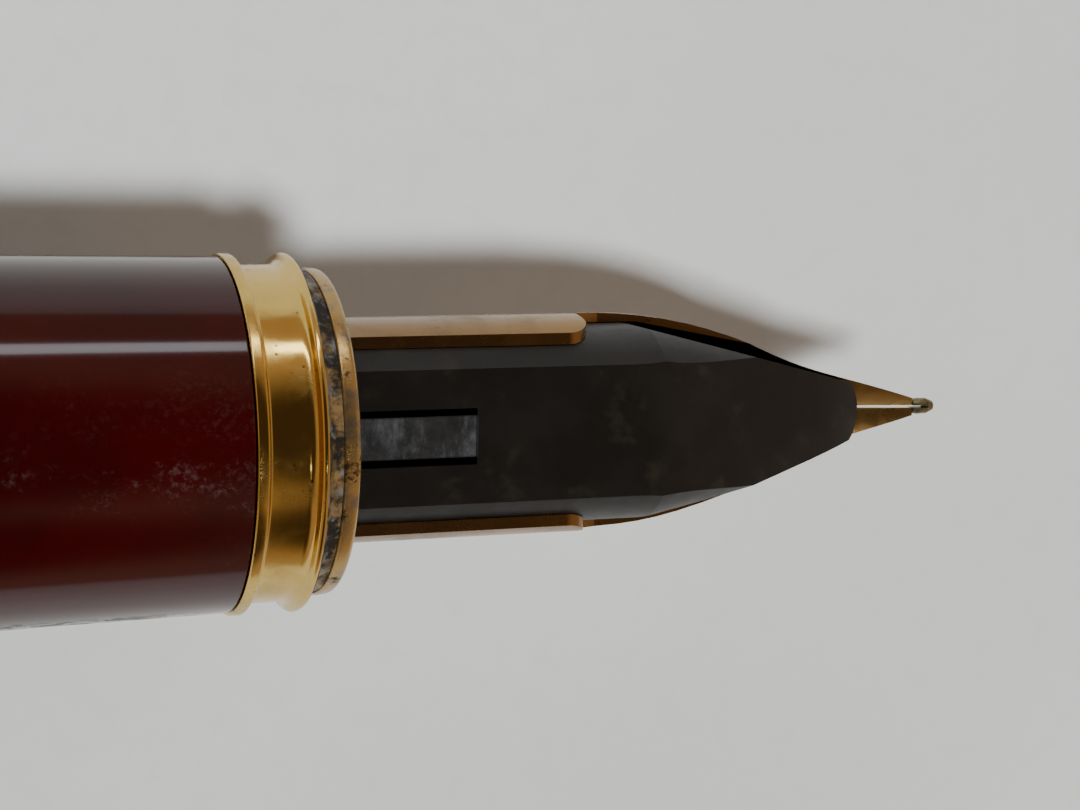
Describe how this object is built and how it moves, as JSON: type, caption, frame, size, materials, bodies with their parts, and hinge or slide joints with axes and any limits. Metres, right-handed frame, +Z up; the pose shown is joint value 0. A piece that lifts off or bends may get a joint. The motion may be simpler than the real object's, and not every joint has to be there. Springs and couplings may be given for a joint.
{
  "type": "fountain pen",
  "caption": "Slim metal fountain pen with a gold-coloured nib over a black feed, ringed lacquered grip, screw converter, unscrewing barrel and a posted clip cap.",
  "frame": {"origin": "on the pen's axis, in the plane of the barrel's front edge where the loose ring seats", "axes": "+X along the pen towards the nib's point, +Z up with the underside of the nib (its feed) facing up"},
  "size_m": [0.1528, 0.0124, 0.0144],
  "materials": {
    "lacquer": "gloss",
    "gold_plate": "polished",
    "nib_gold": "polished",
    "tipping": "satin",
    "feed_plastic": "matte",
    "housing_plastic": "gloss",
    "bare_brass": "machined",
    "clear_plastic": "clear",
    "steel": "satin",
    "seal_rubber": "matte",
    "liner_plastic": "matte"
  },
  "bodies": {
    "grip": {"grip_sleeve": "lacquer", "front_ring": "gold_plate", "nose_ring": "gold_plate", "grip_core": "bare_brass", "nib_housing": "housing_plastic", "nib": "nib_gold", "nib_tipping": "tipping", "feed": "feed_plastic"},
    "converter": {"converter_tube": "clear_plastic", "converter_ferrule": "gold_plate", "rod_guide": "housing_plastic"},
    "converter_piston": {"piston_rod": "housing_plastic", "piston_seal": "seal_rubber"},
    "knob": {"converter_knob": "housing_plastic", "drive_nut": "bare_brass"},
    "tail_spring": {"barrel_spring": "steel"},
    "loose_ring": {"centre_ring": "gold_plate"},
    "barrel": {"barrel_shell": "lacquer", "barrel_bush": "bare_brass", "tail_plug": "gold_plate"},
    "cap": {"cap_shell": "lacquer", "cap_band": "gold_plate", "cap_clutch": "steel", "cap_liner": "liner_plastic", "crown_block": "bare_brass", "clip_pin": "steel", "clip_spring": "steel", "finial": "gold_plate", "finial_inlay": "lacquer", "crown_screw": "steel"},
    "clip_arm": {"clip": "gold_plate"}
  },
  "joints": [
    {"name": "converter_pull", "type": "slide", "parent": "grip", "child": "converter", "axis": [-1, 0, 0], "range_m": [0, 0.006]},
    {"name": "knob_turn", "type": "hinge", "parent": "converter", "child": "knob", "pos_m": [-0.0388, 0, 0], "axis": [-1, 0, 0], "range_deg": [0, 1800]},
    {"name": "piston_slide", "type": "slide", "parent": "converter", "child": "converter_piston", "axis": [1, 0, 0], "range_m": [0, 0.02]},
    {"name": "barrel_draw", "type": "slide", "parent": "grip", "child": "tail_spring", "axis": [-1, 0, 0], "range_m": [0, 0.08]},
    {"name": "barrel_advance", "type": "slide", "parent": "tail_spring", "child": "loose_ring", "axis": [-1, 0, 0], "range_m": [0, 0.007]},
    {"name": "barrel_turn", "type": "hinge", "parent": "loose_ring", "child": "barrel", "pos_m": [-0.0188, 0, 0], "axis": [-1, 0, 0], "range_deg": [0, 1260]},
    {"name": "cap_pull", "type": "slide", "parent": "barrel", "child": "cap", "axis": [-1, 0, 0], "range_m": [0, 0.05]},
    {"name": "clip_flex", "type": "hinge", "parent": "cap", "child": "clip_arm", "pos_m": [-0.095, 0, -0.0049], "axis": [0, 1, 0], "range_deg": [0, 6], "stiffness_Nm_per_rad": 0.5, "springref_deg": -1.15}
  ],
  "couplings": [
    {"joint": "knob_turn", "follows": "piston_slide", "rad_per_m": 1570.8},
    {"joint": "barrel_turn", "follows": "barrel_advance", "rad_per_m": 3141.6}
  ]
}
